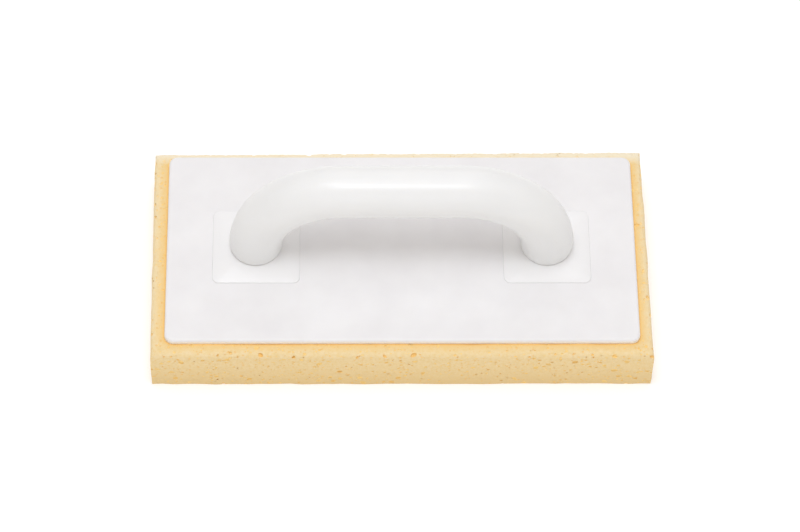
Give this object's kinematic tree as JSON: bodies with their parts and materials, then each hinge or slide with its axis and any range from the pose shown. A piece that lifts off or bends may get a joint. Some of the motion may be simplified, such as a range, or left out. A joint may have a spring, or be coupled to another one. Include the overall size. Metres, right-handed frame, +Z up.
{
  "type": "sponge grout float",
  "caption": "Hand float with a thick foam block under a thin plastic plate, and a closed round handle on square feet, for washing down grout joints.",
  "frame": {"origin": "middle of the foam block's flat underside, on the surface that the float rests on", "axes": "+X along the float and its grip, +Z up from the foam towards the grip, -Y the side nearest the user"},
  "size_m": [0.28, 0.14, 0.1005],
  "materials": {
    "foam": "open-cell foam, cream yellow, porous and matt",
    "glue": "amber hot-melt film, slightly glossy",
    "plate_plastic": "white polypropylene sheet, satin with faint marks",
    "foot_plastic": "white moulded polypropylene, satin",
    "handle_plastic": "white moulded polyethylene, soft gloss",
    "screw_steel": "zinc-plated steel, dull"
  },
  "bodies": {
    "root": {"sponge_block": "foam", "adhesive_film": "glue", "base_plate": "plate_plastic", "left_foot": "foot_plastic", "right_foot": "foot_plastic", "handle_front_half": "handle_plastic", "handle_rear_half": "handle_plastic", "left_outer_screw": "screw_steel", "left_inner_screw": "screw_steel", "right_inner_screw": "screw_steel", "right_outer_screw": "screw_steel"}
  },
  "joints": []
}
